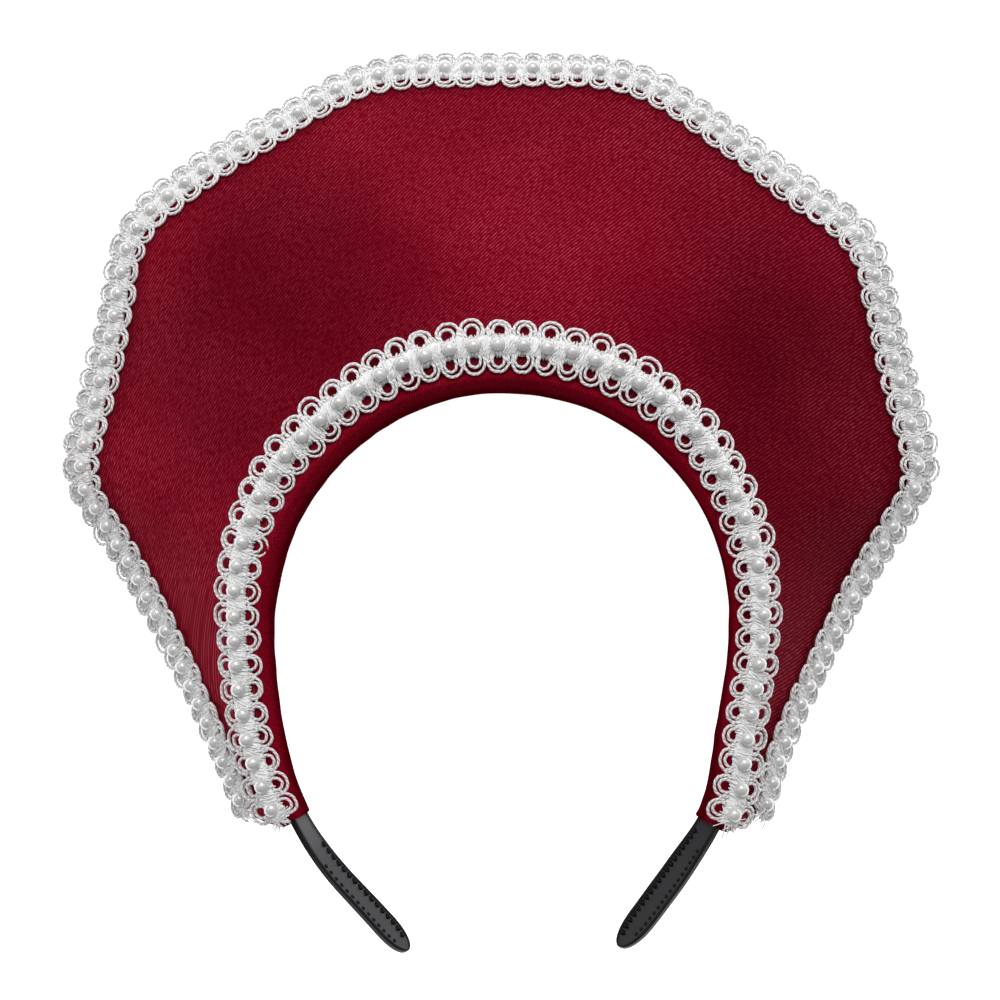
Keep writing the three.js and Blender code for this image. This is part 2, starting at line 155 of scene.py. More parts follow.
def crownOutline():
    rows = np.array(CORNERS)
    corners = np.stack([rows[:, 0] * CROWN["halfWidth"], rows[:, 1] * CROWN["rise"] - rows[:, 2] * CROWN["drop"]], -1)
    rounds = rows[:, 4] * CROWN["cornerRound"]
    pieces = []
    spot = corners[0]
    for index in range(1, len(corners)):
        way = unit(corners[index] - corners[index - 1])
        end = corners[index] - way * rounds[index]
        bow = 2 * rows[index, 5] * CROWN["sideBow"] * np.array([-way[1], way[0]])
        pieces.append(quadratic(spot, (spot + end) / 2 + bow, end))
        if index < len(corners) - 1:
            spot = corners[index] + unit(corners[index + 1] - corners[index]) * rounds[index]
            pieces.append(quadratic(end, corners[index], spot))
    lengths = np.cumsum([np.linalg.norm(np.diff(piece, axis=0), axis=1).sum() for piece in pieces])
    places = [0]
    for index in range(1, len(corners)):
        before = lengths[2 * index - 2]
        after = lengths[min(2 * index - 1, len(lengths) - 1)]
        places.append((before + after) / 2 / lengths[-1])
    return Line(joined(pieces)), places


bandPath = bandLine()
edgePath, cornerPlaces = crownOutline()


def crownValue(column, place):
    values = [row[CORNER_COLUMNS.index(column)] for row in CORNERS]
    return smoothValue(cornerPlaces, values, place)


def bandFrame(distance, extraLean=0):
    distance = np.asarray(distance, float)
    side = np.where(distance < 0, -1.0, 1.0)
    share = np.clip(np.abs(distance) / bandPath.length, 0, 1)
    spot, way = bandPath.at(share), bandPath.way(share)
    along = np.stack([way[..., 0], side * way[..., 1], 0 * side], -1)
    front = np.array([0, 0, 1.0])
    outwards = np.cross(front, along)
    bandLean = smoothValue([row[0] for row in LEAN], [row[1] for row in LEAN], share)
    lean = np.radians(bandLean + extraLean)[..., None]
    widthWay = front * np.cos(lean) + outwards * np.sin(lean)
    outerWay = outwards * np.cos(lean) - front * np.sin(lean)
    height = -BAND["coverSink"] - COVER_DEPTH / 2 * np.cos(np.radians(bandLean))
    middle = np.stack([side * spot[..., 0], spot[..., 1], height], -1)
    return middle, along, widthWay, outerWay


def crownRoot(place):
    distance = np.sign(place) * crownValue("reach", place) * BAND["coverReach"]
    middle, _, widthWay, outerWay = bandFrame(distance)
    root = middle + outerWay * (COVER_THICKNESS / 2 + CROWN["seamGap"])
    sink = crownValue("sink", place) * CROWN["seamSink"]
    return root - widthWay * ((root[..., 2] + sink) / widthWay[..., 2])[..., None]


def crownPoint(place, out):
    place, out = np.broadcast_arrays(np.asarray(place, float), np.asarray(out, float))
    root = crownRoot(place)
    spot = edgePath.at(np.abs(place))
    depth = -crownValue("depth", place) * CROWN["depth"]
    edge = np.stack([np.sign(place) * spot[..., 0], spot[..., 1], depth], -1)
    belly = crownValue("belly", place)
    fall = (1 - belly) * out + belly * out * out
    points = root + (edge - root) * out[..., None]
    points[..., 2] = root[..., 2] + (edge[..., 2] - root[..., 2]) * fall
    return points


def crownFrame(place, out, step=0.002):
    before = crownPoint(np.clip(place - step, -1, 1), out)
    after = crownPoint(np.clip(place + step, -1, 1), out)
    nearer = crownPoint(place, np.clip(out - step, 0, 1))
    further = crownPoint(place, np.clip(out + step, 0, 1))
    along = unit(after - before)
    normal = unit(np.cross(along, further - nearer))
    return along, normal, np.cross(normal, along)


def turned(vectors, axis, angle):
    cosine, sine = np.cos(angle)[..., None], np.sin(angle)[..., None]
    onAxis = np.sum(axis * vectors, -1, keepdims=True)
    return vectors * cosine + np.cross(axis, vectors) * sine + axis * onAxis * (1 - cosine)


# The arch braid from its middle to its ends: how many millimetres further out it lies than the part's, how many
# degrees its outer half rises off the crown, and how wide its inner and its outer half are, as shares of the
# part's. On the right RIGHT_SHIFTS is added to the first.
ARCH_COLUMNS = ("shift", "rise", "near", "far")
ARCH_ROWS = [
    (0, 0.2, 0, 0.96, 0.97), (0.3, 0.5, 8, 0.9, 1.02), (0.6, 1.5, 16, 0.86, 1.04), (0.86, 1.0, 16, 0.86, 1),
    (1, -1.7, 14, 0.86, 1),
]
RIGHT_SHIFTS = (0, 0.4, -1.5, -2.2, -0.9)


def archRow(key, place):
    places = [row[0] for row in ARCH_ROWS]
    value = smoothValue(places, [row[1 + ARCH_COLUMNS.index(key)] for row in ARCH_ROWS], place)
    return value + smoothValue(places, RIGHT_SHIFTS, place) * (place > 0) * (key == "shift")


def edgeBraidFrame(t):
    place = -1 + 2 * np.asarray(t, float)
    along, normal, across = crownFrame(place, np.ones_like(place))
    flare = np.radians(crownValue("flare", place))
    lift = turned(normal, along, flare / 2)
    base = crownPoint(place, 1) + lift * BRAID["gap"]
    return dict(base=base, near=-across, far=turned(across, along, flare), along=along)


def archBraidFrame(t):
    place = (-1 + 2 * np.asarray(t, float)) * (1 - BRAID["endMargin"] / edgePath.length)
    setback = crownValue("setback", place) * BRAID["archSetback"]
    span = np.linalg.norm(crownPoint(place, 0.1 + 0 * place) - crownRoot(place), axis=-1) * 10
    out = setback / span
    along, normal, across = crownFrame(place, out)
    drape = np.radians(crownValue("drape", place))
    bridge = setback * np.sin(drape)
    dip = np.arcsin(bridge / BRAID["halfWidth"])
    lift = turned(normal, along, (drape - dip) / 2)
    sink = crownValue("sink", place) * CROWN["seamSink"]
    seat = (BRAID["gap"] + sink + bridge) / np.cos((drape + dip) / 2)
    shift, rise, near, far = [archRow(key, place) for key in ("shift", "rise", "near", "far")]
    base = crownPoint(place, out) + lift * seat[..., None] + across * shift[..., None]
    nearWay = turned(-across, along, drape + math.radians(BRAID["archFall"]))
    farWay = turned(across, along, np.radians(rise) - dip)
    return dict(base=base, near=nearWay * near[..., None], far=farWay * far[..., None], along=along)


# The part's origin is under its middle, so the band's CAD node gives the shift from these sizes to it.
bandLow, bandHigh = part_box("headband")
middle, _, widthWay, outerWay = bandFrame(np.linspace(0, bandPath.length, 2000))
corners = [
    middle + outerWay * out * BAND["thickness"] / 2 + widthWay * across * BAND["width"] / 2
    for out in (-1, 1) for across in (-1, 1)
]
SHIFT = np.array([
    0,
    bandHigh.y * 1000 - max(corner[0, 1] for corner in corners),
    bandHigh.z * 1000 - max(corner[:, 2].max() for corner in corners),
])


def nearness(points, x, y, reach):
    return np.exp(-((points[:, 0] - x) ** 2 + (points[:, 1] - y) ** 2) / reach**2)


def settled(points):
    points = np.array(points, float)
    moved = points.copy()
    for x, y, shiftX, shiftY, reach in SHIFTS:
        near = nearness(points, x, y, reach)
        moved[:, 0] += shiftX * near
        moved[:, 1] += shiftY * near
    sway = np.clip((TIP_SWAY["start"] - points[:, 1]) / TIP_SWAY["span"], 0, 1)
    sway = sway * sway * (3 - 2 * sway)
    moved[:, 0] += sway * (TIP_SWAY["shift"] - TIP_SWAY["pinch"] * np.sign(points[:, 0]))
    moved[:, 1] -= sway * (TIP_SWAY["stretch"] + TIP_SWAY["leftStretch"] * (points[:, 0] < 0))
    return moved


def inRow(points):
    return (settled(points) + SHIFT) / 1000


def placed(name, data):
    thing = bpy.data.objects.new(name, data)
    bpy.context.scene.collection.objects.link(thing)
    return thing


def makeMesh(name, points, faces, material, attributes=None):
    mesh = bpy.data.meshes.new(name)
    mesh.from_pydata(points.tolist(), [], faces)
    for key, values in (attributes or {}).items():
        layer = mesh.attributes.new(key, "FLOAT_VECTOR" if values.ndim == 2 else "FLOAT", "POINT")
        layer.data.foreach_set("vector" if values.ndim == 2 else "value", values.astype(np.float32).ravel())
    mesh.materials.append(material)
    mesh.shade_smooth()
    mesh.update()
    return placed(name, mesh)


def grid(rows, columns):
    return [part.ravel() for part in np.meshgrid(rows, columns, indexing="ij")]


def loftFaces(rings, sides, closed=True, capped=True):
    faces = []
    for ring in range(rings - 1):
        for side in range(sides if closed else sides - 1):
            near, far = ring * sides + side, ring * sides + (side + 1) % sides
            faces.append((near, far, far + sides, near + sides))
    if capped:
        faces.append(tuple(range(sides))[::-1])
        faces.append(tuple((rings - 1) * sides + side for side in range(sides)))
    return faces


# The satin's twill, by the direction of its lines round the arch: the angle of a spot, then that of its lines. The
# angles are counted from first, blurred over so many degrees, and past fanFrom the lines fan out.
TWILL = dict(
    directions=[(-60, 33), (55, 33), (90, 41), (120, 50), (140, 59), (160, 69), (175, 76), (195, 97), (240, 99)],
    pitch=0.86, first=-100, perDegree=10, blur=14, fanFrom=50, steepest=1.3,
)


def twillCoordinates(points):
    scale = VIEW["distance"] / (VIEW["distance"] - points[:, 2])
    x, y = points[:, 0] * scale, points[:, 1] * scale
    radius, angle = np.hypot(x, y), np.degrees(np.arctan2(y, x))
    angle = np.where(angle < TWILL["first"], angle + 360, angle)
    table = np.linspace(TWILL["first"], TWILL["first"] + 360, 360 * TWILL["perDegree"] + 1)
    rows = np.array(TWILL["directions"])
    direction = np.interp(table, rows[:, 0], rows[:, 1])
    blur = TWILL["blur"] * TWILL["perDegree"]
    smoothing = np.hanning(blur + 1)
    padded = np.pad(direction, blur // 2, mode="edge")
    direction = np.convolve(padded, smoothing / smoothing.sum(), mode="valid")
    turnedTo = np.radians(direction + 90 - table)
    steepness = np.tan(np.clip(turnedTo, -TWILL["steepest"], TWILL["steepest"]))
    growth = np.where(table > TWILL["fanFrom"], steepness, 0) * np.gradient(np.radians(direction))
    height = np.exp(np.cumsum(growth))
    phase = np.interp(angle, table, np.unwrap(turnedTo))
    size = radius * np.interp(angle, table, height)
    return np.stack([size * np.cos(phase), size * np.sin(phase), 0 * size], -1)


# Where the satin catches the light or falls into shade: x and y of a spot, its strength and its reach.
SHEEN = [
    (-8, 118, 0.10, 34), (22, 108, 0.12, 30), (50, 96, 0.05, 20), (-62, 88, -0.22, 28), (-30, 84, -0.08, 16),
    (88, 52, -0.20, 34), (74, 80, -0.08, 22), (96, 4, -0.18, 26), (112, 62, 0.14, 9), (-102, 40, 0.10, 18),
    (-92, 6, 0.12, 24), (-74, -20, 0.06, 20), (-100, 96, 0.12, 12), (-40, 132, 0.06, 12), (70, -30, -0.06, 16),
    (-48, 112, -0.05, 14), (6, 88, 0.05, 12), (-20, 108, -0.09, 26), (66, 96, -0.06, 20),
]
CROWN_MESH = dict(
    places=420, rows=46, backRows=16, undulation=0.42, pucker=0.12, seamPull=0.15, lip=1.5, lipDrop=1.6,
    backWave=0.25, rimRound=0.55, allowance=2,
)
WAVES = 10


def softNoise(points, wavelength, seed):
    rng = np.random.default_rng(seed)
    total = np.zeros(len(points))
    for _ in range(WAVES):
        way = unit(rng.normal(size=3))
        rate = 2 * math.pi / wavelength * rng.uniform(0.6, 1.5)
        total += np.sin(points @ way * rate + rng.uniform(0, 6.28))
    return total / math.sqrt(WAVES)


# How plainly the twill's lines show, from the upper left to the right.
RELIEF = dict(least=0.25, most=0.95, middle=4.0, span=26.0)


def reliefAt(points):
    share = 0.5 + 0.5 * np.tanh((points[:, 0] - RELIEF["middle"]) / RELIEF["span"])
    return RELIEF["least"] + (RELIEF["most"] - RELIEF["least"]) * share


def sheenAt(points):
    total = np.zeros(len(points))
    for x, y, strength, reach in SHEEN:
        total += strength * nearness(points, x, y, reach)
    return total


def makeCrown(material):
    look = CROWN_MESH
    places = np.linspace(-1, 1, look["places"])
    place, out = grid(places, np.linspace(0, 1, look["rows"]))
    _, normal, _ = crownFrame(place, out)
    front = crownPoint(place, out)
    waves = softNoise(front, 58, 3) + 0.4 * softNoise(front, 24, 4)
    puckers = softNoise(front, 9, 5) * np.exp(-((1 - out) * 14) ** 2)
    nearSeam = np.exp(-((out * 9) ** 2))
    inner = out * (1 - out) * 4
    rise = look["undulation"] * waves * inner + look["pucker"] * puckers - look["seamPull"] * nearSeam
    front += normal * rise[:, None]
    lipPlace, lipStep = grid(places, [1.0, 0.5])
    _, lipNormal, lipAcross = crownFrame(lipPlace, np.zeros_like(lipPlace))
    tuck = lipAcross * look["lip"] + lipNormal * look["lipDrop"]
    lip = crownPoint(lipPlace, 0) - tuck * lipStep[:, None]
    backPlace, backOut = grid(places, np.linspace(1, 0, look["backRows"]))
    _, backNormal, _ = crownFrame(backPlace, backOut)
    back = crownPoint(backPlace, backOut) - backNormal * CROWN["thickness"]
    back += backNormal * look["backWave"] * softNoise(back, 40, 6)[:, None]
    rimPlace, rimStep = grid(places, [0.2, 0.5, 0.8])
    _, rimNormal, rimAcross = crownFrame(rimPlace, np.ones_like(rimPlace))
    rim = crownPoint(rimPlace, 1) - rimNormal * CROWN["thickness"] * rimStep[:, None]
    rim += rimAcross * look["rimRound"] * np.sin(rimStep * math.pi)[:, None]
    rings = np.concatenate([rows.reshape(len(places), -1, 3) for rows in (lip, front, rim, back)], axis=1)
    ends = [
        rings[end] + unit(np.mean(rings[end] - rings[beside], axis=0)) * look["allowance"]
        for end, beside in ((0, 4), (-1, -5))
    ]
    rings = np.concatenate([ends[:1], rings, ends[1:]])
    points = rings.reshape(-1, 3)
    faces = loftFaces(len(rings), rings.shape[1])
    attributes = {"twill": twillCoordinates(points), "sheen": sheenAt(points), "relief": reliefAt(points)}
    return makeMesh("crown_satin", inRow(points), faces, material, attributes)


def sideLean(distance, shares, leans):
    share = np.abs(distance) / bandPath.length
    left, right = [smoothValue(shares, leans[side], share) for side in ("left", "right")]
    return np.where(distance < 0, left, right)


def coverFrame(distance):
    middle, _, plainWidth, plainOuter = bandFrame(distance)
    seam = middle + plainOuter * COVER_THICKNESS / 2 + plainWidth * COVER_DEPTH / 2
    _, along, widthWay, outerWay = bandFrame(distance, sideLean(distance, LEAN_SHARES, COVER_LEAN))
    return seam - outerWay * COVER_THICKNESS / 2 - widthWay * COVER_DEPTH / 2, along, widthWay, outerWay


def tipFrame(distance):
    return bandFrame(distance, sideLean(distance, TIP_SHARES, TIP_LEAN))


# The sleeve is lit from above and shaded towards the head, its ends slant, and its weave is turned to its length.
COVER_MESH = dict(
    stations=360, sides=30, acrossPower=0.75, outwardPower=0.62, hollowRoom=0.3, pucker=0.16, topLight=0.22,
    innerShade=0.5, shadeReach=0.35, shearRun=8, endShear=2, weaveTurn=18, weaveScale=1.25, sheen=0.6, relief=0.6,
)


def makeCover(material):
    look, reach = COVER_MESH, BAND["coverReach"]
    stations, sides = look["stations"], look["sides"]
    distance = np.linspace(-reach, reach, stations)
    middle, along, widthWay, outerWay = coverFrame(distance)
    angle = np.linspace(0, 2 * math.pi, sides, endpoint=False)
    bulge = lambda value, power: np.sign(value) * np.abs(value) ** power
    across, outward = bulge(np.sin(angle), look["acrossPower"]), bulge(np.cos(angle), look["outwardPower"])
    pastEnd = np.clip((np.abs(distance) - reach + look["shearRun"]) / look["shearRun"], 0, 1)[:, None]
    shear = -pastEnd * look["endShear"] * (outward + 1)[None, :] / 2 * np.sign(distance)[:, None]

    def ring(depth, thickness):
        return (
            middle[:, None]
            + widthWay[:, None] * (across * depth / 2)[None, :, None]
            + outerWay[:, None] * (outward * thickness / 2)[None, :, None]
            + along[:, None] * shear[..., None]
        )

    outer = ring(COVER_DEPTH, COVER_THICKNESS)
    hollow = ring(*[BAND[key] + 2 * BAND["coverRoom"] + look["hollowRoom"] for key in ("width", "thickness")])
    ripple = softNoise(outer.reshape(-1, 3), 7, 8) * 0.6 + softNoise(outer.reshape(-1, 3), 19, 9)
    away = unit(outer - middle[:, None])
    outer = outer + away * (look["pucker"] * ripple).reshape(outer.shape[:2])[..., None]
    points = np.concatenate([outer.reshape(-1, 3), hollow.reshape(-1, 3)])
    faces = loftFaces(stations, sides, capped=False)
    size = stations * sides
    faces += [tuple(index + size for index in face[::-1]) for face in faces]
    for start, flip in ((0, True), (size - sides, False)):
        for side in range(sides):
            before, after = start + side, start + (side + 1) % sides
            face = (before, after, after + size, before + size)
            faces.append(face[::-1] if flip else face)
    # Painted light and shade: the sleeve is painted lighter towards its front and darker on its inner side towards the
    # head.
    shade = look["innerShade"] * np.clip(-outward, 0, 1) * np.clip(look["shadeReach"] - across, 0, 1)
    paintedLightAndShade = np.tile(look["topLight"] * across - shade, 2 * stations)
    turn = math.radians(look["weaveTurn"])
    girth = np.cumsum(np.linalg.norm(np.diff(outer[0], axis=0, prepend=outer[0][-1:]), axis=1))
    alongs, rounds = grid(distance, girth)
    weave = np.column_stack([
        alongs * math.cos(turn) + rounds * math.sin(turn), rounds * math.cos(turn) - alongs * math.sin(turn),
        0 * alongs,
    ])
    attributes = {
        "twill": np.tile(weave, (2, 1)) * look["weaveScale"], "sheen": look["sheen"] * sheenAt(points) + paintedLightAndShade,
        "relief": look["relief"] * reliefAt(points),
    }
    return makeMesh("cover_satin", inRow(points), faces, material, attributes)


# The band's edges, and at its tips a rim on both sides of its inner face, which is painted grey as a painted
# reflection, the left one more.
TIP = dict(
    rim=0.95, rimRise=0.32, edge=0.28, point=10, pointPower=2.4, leftTone=0.85, rightTone=0.3, stations=90,
    hiddenStations=120, sharpAngle=28,
)
# Between the rims, teeth along the inner one and dots along the outer one: where they start past the cover, left
# and right, and how far from the point they end.
TEETH = dict(starts=(9.2, 4), end=3, pitch=1.9, half=0.95, width=0.5, length=1.7, rise=0.6, sink=0.1)
DOTS = dict(
    starts=(13.2, 8.2), end=4, pitch=1.85, radius=0.46, stretch=1.2, inset=0.75, sides=8,
    levels=((-0.1, 1), (0.22, 0.92), (0.4, 0.5)),
)


def tipHalfWidth(distance):
    left = bandPath.length - np.abs(distance)
    inRound = np.clip(1 - left / TIP["point"], 0, 0.99)
    return BAND["width"] / 2 * (1 - inRound ** TIP["pointPower"]) ** 0.5


def makeBand(material):
    length, reach = bandPath.length, BAND["coverReach"]
    tips = length - (length - reach + 1) * (1 - np.sin(np.linspace(0, math.pi / 2, TIP["stations"])))
    hidden = np.linspace(-reach + 1, reach - 1, TIP["hiddenStations"])
    distance = np.unique(np.concatenate([-tips, hidden, tips]).round(4))
    middle, _, widthWay, outerWay = tipFrame(distance)
    half = tipHalfWidth(distance)[:, None]
    thick = BAND["thickness"] / 2
    edge, rim, rise = TIP["edge"], TIP["rim"], TIP["rimRise"]
    inward = [
        (edge, thick), (0, thick - edge), (0, edge - thick - rise), (edge * 0.7, -thick - rise),
        (rim * 0.8, -thick - rise), (rim, -thick),
    ]
    section = [(1, *corner) for corner in inward] + [(-1, *corner) for corner in inward[::-1]]
    rings = np.stack([
        middle + widthWay * side * np.maximum(half - step, half * 0.02) + outerWay * height
        for side, step, height in section
    ], axis=1)
    faces = [face[::-1] for face in loftFaces(len(distance), len(section))]
    onFace = np.tile([step == rim for _, step, _ in section], len(distance))
    # How grey each tip's inner face is painted: a painted reflection, the left one more.
    tone = np.where(np.repeat(distance, len(section)) < 0, TIP["leftTone"], TIP["rightTone"])
    band = makeMesh("band_plastic", inRow(rings.reshape(-1, 3)), faces, material, {"tone": onFace * tone})
    band.data.set_sharp_from_angle(angle=math.radians(TIP["sharpAngle"]))
    return band


def toothCorners(half):
    wide, deep, sink, rise = TEETH["half"], TEETH["width"], TEETH["sink"], TEETH["rise"]
    foot = [(-wide, -half, -sink), (wide, -half, -sink), (wide, deep - half, -sink), (-wide, deep - half, -sink)]
    return foot + [(0, sink - half, rise), (0, TEETH["length"] - half, rise * 0.7)]


def dotCorners(half):
    angles = np.linspace(0, 2 * math.pi, DOTS["sides"], endpoint=False)
    return [
        (
            DOTS["radius"] * share * math.cos(angle) * DOTS["stretch"],
            half - DOTS["inset"] + DOTS["radius"] * share * math.sin(angle), level,
        )
        for level, share in DOTS["levels"] for angle in angles
    ]


def makeTeeth(material):
    points, faces = [], []
    wedge = [(0, 1, 2, 3), (0, 4, 1), (1, 4, 5, 2), (2, 5, 3), (3, 5, 4, 0)]
    dot = [face[::-1] for face in loftFaces(len(DOTS["levels"]), DOTS["sides"])]
    for look, cornersAt, solid in ((TEETH, toothCorners, wedge), (DOTS, dotCorners, dot)):
        for side in (-1, 1):
            begin = BAND["coverReach"] + look["starts"][side > 0]
            for distance in np.arange(begin, bandPath.length - look["end"], look["pitch"]):
                middle, along, widthWay, outerWay = [column[0] for column in tipFrame(np.array([side * distance]))]
                start = len(points)
                for ahead, across, height in cornersAt(tipHalfWidth(distance) - TIP["rim"]):
                    depth = BAND["thickness"] / 2 + height
                    points.append(middle + along * ahead + widthWay * across - outerWay * depth)
                faces += [tuple(start + index for index in face[::side]) for face in solid]
    return makeMesh("tip_grips", inRow(np.array(points)), faces, material)


# Node trees

class Nodes:
    def __init__(self, tree):
        self.tree = tree

    def add(self, kind, sockets=None, output=0, **settings):
        node = self.tree.nodes.new(kind)
        for key, value in settings.items():
            setattr(node, key, value)
        for key, value in (sockets or {}).items():
            self.put(node.inputs[key], value)
        return Socket(self, node, node.outputs[output]) if len(node.outputs) else node

    def put(self, target, value):
        if isinstance(value, Socket):
            self.tree.links.new(value.socket, target)
        else:
            target.default_value = value


class Socket:
    def __init__(self, nodes, node, socket):
        self.nodes, self.node, self.socket = nodes, node, socket

    def out(self, name):
        return Socket(self.nodes, self.node, self.node.outputs[name])

    def math(self, operation, other=0.0, clamp=False):
        return self.nodes.add("ShaderNodeMath", {0: self, 1: other}, operation=operation, use_clamp=clamp)

    def __add__(self, other):
        return self.math("ADD", other)

    def __mul__(self, other):
        return self.math("MULTIPLY", other)

    def __truediv__(self, other):
        return self.math("DIVIDE", other)

    def __pow__(self, other):
        return self.math("POWER", other)

    def wave(self):
        return (self * (2 * math.pi)).math("SINE").ramp(-1.0, 1.0)

    def ramp(self, low, high, toLow=0.0, toHigh=1.0):
        sockets = {"Value": self, "From Min": low, "From Max": high, "To Min": toLow, "To Max": toHigh}
        return self.nodes.add("ShaderNodeMapRange", sockets)

    def mixed(self, first, second):
        return self.nodes.add("ShaderNodeMix", {0: self, 6: first, 7: second}, output=2, data_type="RGBA")


class Surface(Nodes):
    def __init__(self, name, **uniform):
        self.material = bpy.data.materials.new(name)
        self.material.use_nodes = True
        super().__init__(self.material.node_tree)
        self.give(**uniform)
        self.position = self.add("ShaderNodeTexCoord", output="Object")

    def give(self, **values):
        for key, value in values.items():
            self.put(self.tree.nodes["Principled BSDF"].inputs[key.replace("_", " ")], value)

    def attribute(self, name, output="Fac"):
        return self.add("ShaderNodeAttribute", attribute_name=name, output=output)

    def noise(self, scale, detail=2.0, roughness=0.5, vector=None):
        sockets = {"Vector": vector or self.position, "Scale": scale, "Detail": detail, "Roughness": roughness}
        return self.add("ShaderNodeTexNoise", sockets)

    def finished(self, colour, roughness, height, strength, distance):
        bump = self.add("ShaderNodeBump", {"Height": height, "Strength": strength, "Distance": distance})
        self.give(Base_Color=colour, Roughness=roughness, Normal=bump)
        return self.material


def grey(tone):
    return tone, tone, tone, 1


# The satin's lines: how they wander, how sharp their ridges are and how dark their valleys, where the relief is
# strong and where it is plain, the flecks of light on them, and how strong the sheen and the grain are.
SATIN = dict(
    wander=0.9, sharpness=1.6, valley=0.37, plain=0.8, groove=(0.02, 0, 0.001, 1), fleckAcross=2.2, fleckAlong=0.9,
    sheen=1.6, grain=0.16, lightLeast=0.16, lightGain=0.7, lightMost=0.62,
)


def satinMaterial(name, dark, light, shade, gloss):
    look = SATIN
    surface = Surface(name, Metallic=gloss, Specular_IOR_Level=0.0)
    parts = surface.add("ShaderNodeSeparateXYZ", {"Vector": surface.attribute("twill", "Vector")})
    across, along = parts.out("X"), parts.out("Y")
    wave = (across / TWILL["pitch"] + surface.noise(60.0) * look["wander"]).wave()
    flecksAt = surface.add("ShaderNodeCombineXYZ", {"X": across * look["fleckAcross"], "Y": along * look["fleckAlong"]})
    flecks = surface.noise(1.0, 1.0, vector=flecksAt).ramp(0.36, 0.68)
    patches = surface.noise(34.0, 3.0).ramp(0.3, 0.7, 0.45, 1.0)
    thread = wave ** look["sharpness"] * flecks * patches
    fine = surface.noise(900.0, 1.0).ramp(0.3, 0.7, -0.5, 0.5)
    broad = surface.noise(22.0).ramp(0.3, 0.7, -0.12, 0.12)
    relief = surface.attribute("relief")
    tone = surface.attribute("sheen") * look["sheen"] + broad + fine * look["grain"] + 0.5
    tone = tone.math("ADD", 0.0, clamp=True)
    ridges = wave * (1 - look["valley"]) + look["valley"]
    raised = ridges * relief + (relief * -1.0 + 1.0) * look["plain"]
    base = raised.mixed(look["groove"], tone.mixed(shade, dark))
    bright = ((tone * look["lightGain"] + look["lightLeast"]) * thread).ramp(0.0, 0.6, 0.0, look["lightMost"])
    return surface.finished(
        bright.mixed(base, light), thread.ramp(0.0, 1.0, 0.5, 0.36), wave * 0.7 + flecks * 0.3, 0.35, 0.00012,
    )


def plasticMaterial():
    surface = Surface("band_plastic", Specular_IOR_Level=0.3)
    dust, smears = surface.noise(420.0, 4.0, 0.6), surface.noise(55.0, 3.0)
    # The tips' inner faces are painted grey, the left one more, as a painted reflection; dust lies over it.
    paintedReflection = surface.attribute("tone").mixed(grey(0.004), (0.092, 0.092, 0.101, 1))
    dustAndReflection = dust.ramp(0.66, 0.85, 0.0, 0.5).mixed(paintedReflection, (0.03, 0.03, 0.033, 1))
    return surface.finished(dustAndReflection, smears.ramp(0.3, 0.7, 0.3, 0.44), smears + dust * 0.3, 0.08, 0.0003)


def gripMaterial():
    surface = Surface("grip_plastic", Specular_IOR_Level=0.2)
    grain = surface.noise(500.0)
    return surface.finished(grain.ramp(0.3, 0.7).mixed(grey(0.002), (0.005, 0.005, 0.006, 1)), 0.6, grain, 0.1, 0.0002)


def beadMaterial():
    surface = Surface("bead_pearl", Specular_IOR_Level=0.7, Coat_Weight=1.0, Coat_Roughness=0.22, Coat_IOR=1.95)
    cloud, tint = surface.noise(320.0), surface.noise(90.0, 1.0)
    tone = cloud.ramp(0.35, 0.65).mixed(grey(0.6), grey(0.7))
    warm = tint.ramp(0.45, 0.75, 0.0, 0.35).mixed(tone, (0.70, 0.67, 0.64, 1))
    return surface.finished(warm, cloud.ramp(0.3, 0.7, 0.16, 0.28), cloud, 0.05, 0.0002)


def cordMaterial():
    surface = Surface("cord_white", Sheen_Weight=0.3, Sheen_Roughness=0.4, Specular_IOR_Level=0.3)
    parts = surface.add("ShaderNodeSeparateXYZ", {"Vector": surface.attribute("cord", "Vector")})
    # The grooves between the cord's plies are painted darker and pinkish: painted shade.
    groove = (parts.out("X") / BRAID["cordTwist"] + parts.out("Y") * 2.0).wave() ** 0.55
    fluff = surface.noise(2600.0)
    tone = groove.mixed((0.50, 0.46, 0.47, 1), (0.97, 0.96, 0.96, 1))
    fluffy = fluff.ramp(0.3, 0.75, 0.0, 0.22).mixed(tone, (0.76, 0.74, 0.74, 1))
    return surface.finished(fluffy, fluff.ramp(0.3, 0.7, 0.6, 0.8), groove + fluff * 0.35, 0.8, 0.00022)


# The braids' floss and the grey film of painted shade in the edge braid's outer loops, by the scales of their fluff
# and of its clumps, their two tones, that of the clumps and how much it covers, their roughness and their relief.
FLOSS = dict(
    gimp_white=dict(
        uniform=dict(Sheen_Weight=0.4, Sheen_Roughness=0.5, Specular_IOR_Level=0.3), fluff=1500.0, clumps=480.0,
        dark=grey(0.82), light=grey(0.99), clump=grey(0.74), cover=(0.4, 0.7, 0.0, 0.3),
        roughness=(0.65, 0.85), relief=(0.9, 0.00035),
    ),
    loop_shade_grey=dict(
        uniform=dict(Sheen_Weight=0.2, Sheen_Roughness=0.4, Specular_IOR_Level=0.4), fluff=1300.0, clumps=420.0,
        dark=(0.40, 0.40, 0.41, 1), light=grey(0.72), clump=grey(0.85), cover=(0.45, 0.7, 0.0, 0.5),
        roughness=(0.45, 0.7), relief=(0.8, 0.0003),
    ),
)


def flossMaterial(name):
    look = FLOSS[name]
    surface = Surface(name, **look["uniform"])
    fluff, clumps = surface.noise(look["fluff"], 3.0, 0.6), surface.noise(look["clumps"])
    tone = fluff.ramp(0.3, 0.7).mixed(look["dark"], look["light"])
    return surface.finished(
        clumps.ramp(*look["cover"]).mixed(tone, look["clump"]), clumps.ramp(0.3, 0.7, *look["roughness"]),
        fluff + clumps * 0.6, *look["relief"],
    )


# Braids: made flat along x by node trees, then laid along their line.

